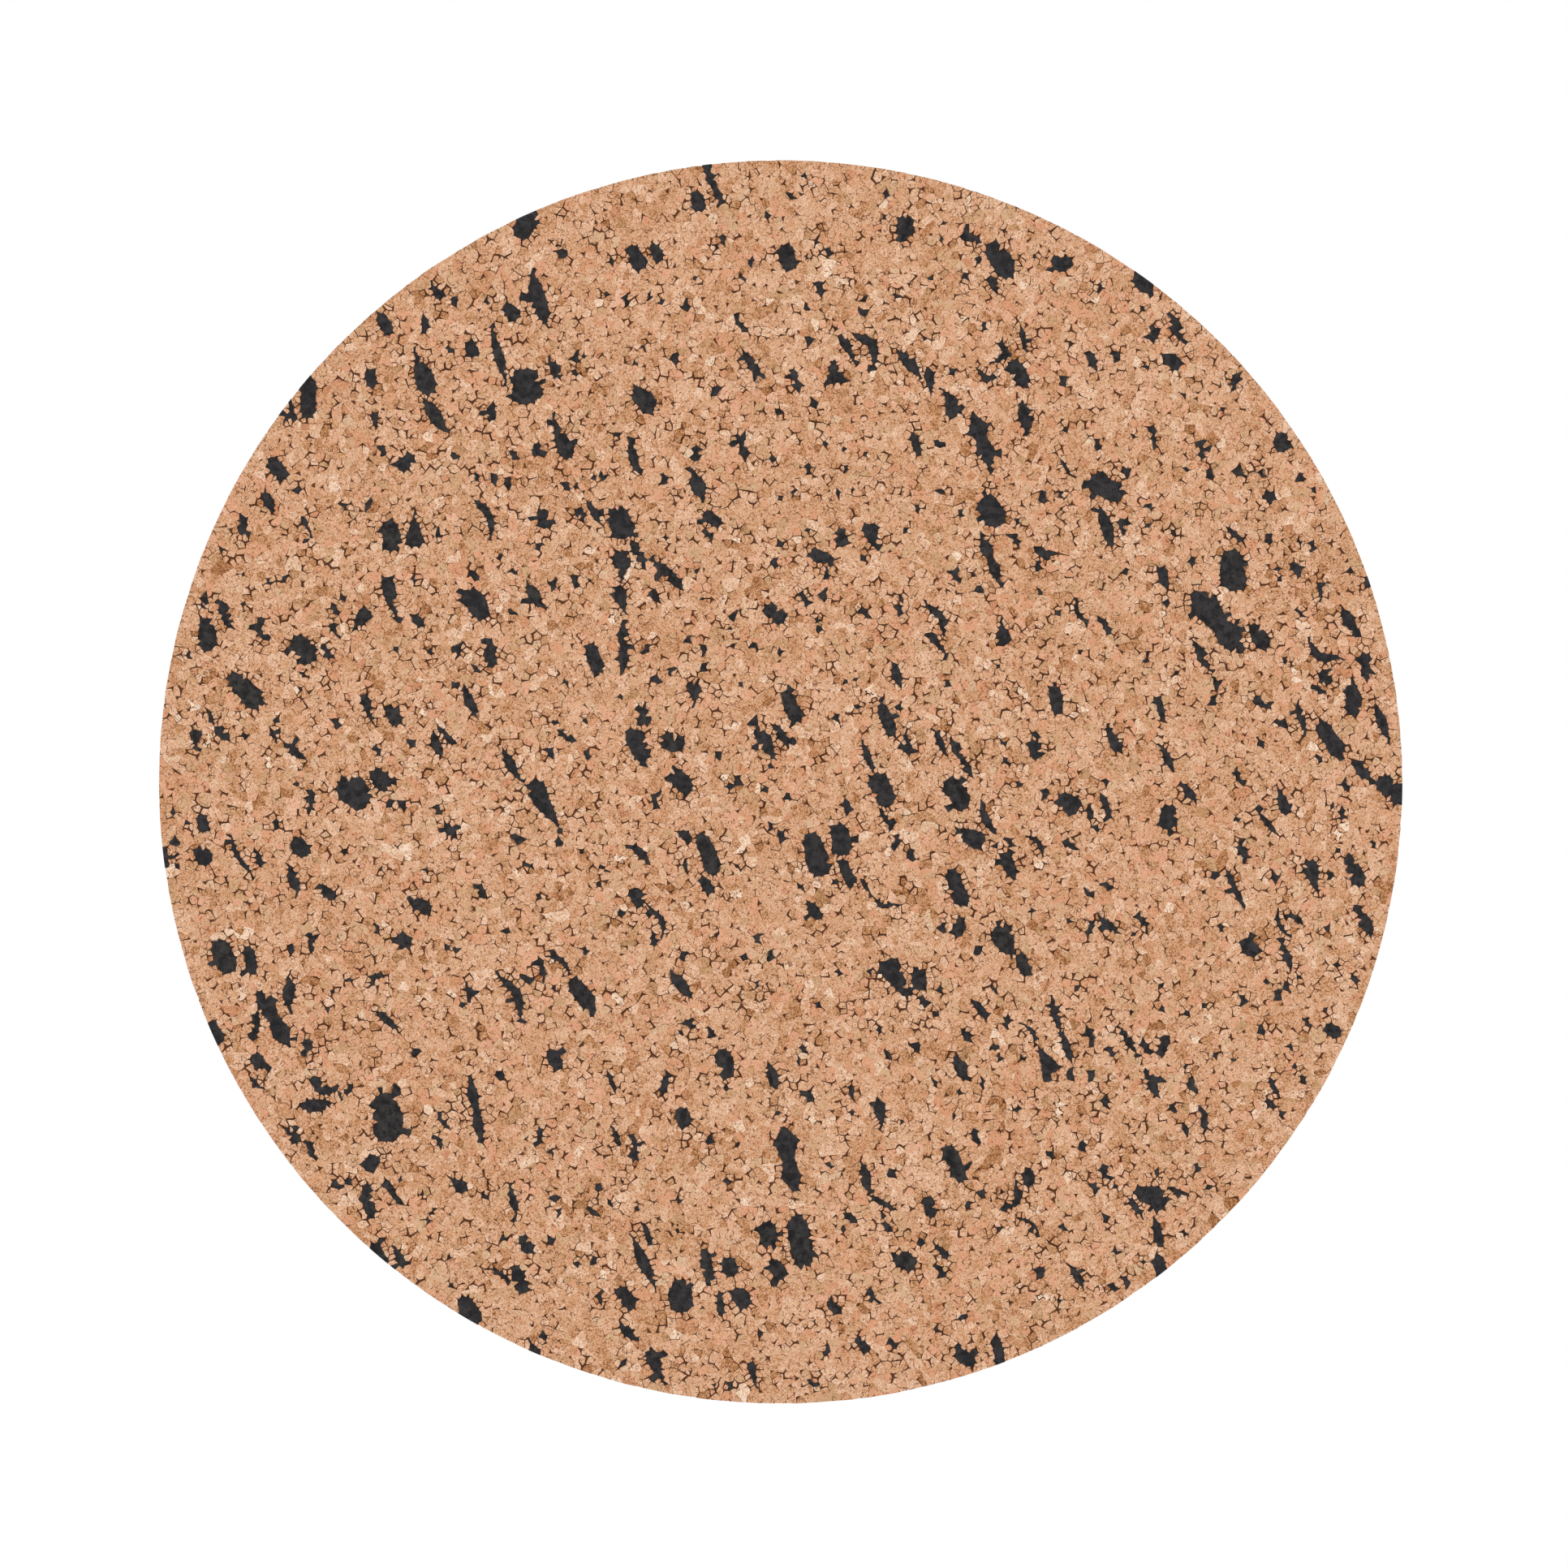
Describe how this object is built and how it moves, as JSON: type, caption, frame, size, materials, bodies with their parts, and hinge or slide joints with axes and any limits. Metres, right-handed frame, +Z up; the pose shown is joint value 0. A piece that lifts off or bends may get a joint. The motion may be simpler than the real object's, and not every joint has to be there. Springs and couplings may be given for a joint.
{
  "type": "cork bulletin board",
  "caption": "Frameless round pinboard: pressed cork sheet flecked with black rubber chips on a softboard core, hung flat on a wall by a keyhole plate in its back.",
  "frame": {"origin": "the disc's centre on the wall plane, which is the wall face of the centre bumper", "axes": "+Z up; +X to the right seen from the front; +Y into the wall, so the cork front faces -Y"},
  "size_m": [0.3, 0.0166, 0.3],
  "materials": {
    "cork": "sanded granulated cork, matte",
    "chip_rubber": "matte",
    "film": "dried adhesive film",
    "softboard": "wood-fibre softboard, matte",
    "kraft_paper": "brown kraft paper, matte",
    "plated_steel": "zinc plated, satin",
    "screw_steel": "yellow passivated, satin",
    "bumper_rubber": "matte"
  },
  "bodies": {
    "root": {"cork_face": "cork", "rubber_chips": "chip_rubber", "adhesive_film": "film", "core_board": "softboard", "backing_paper": "kraft_paper", "hanger_plate": "plated_steel", "hanger_screws": "screw_steel", "bumper_centre": "bumper_rubber", "bumper_upper_left": "bumper_rubber", "bumper_upper_right": "bumper_rubber", "bumper_lower_left": "bumper_rubber", "bumper_lower_right": "bumper_rubber"}
  },
  "joints": []
}
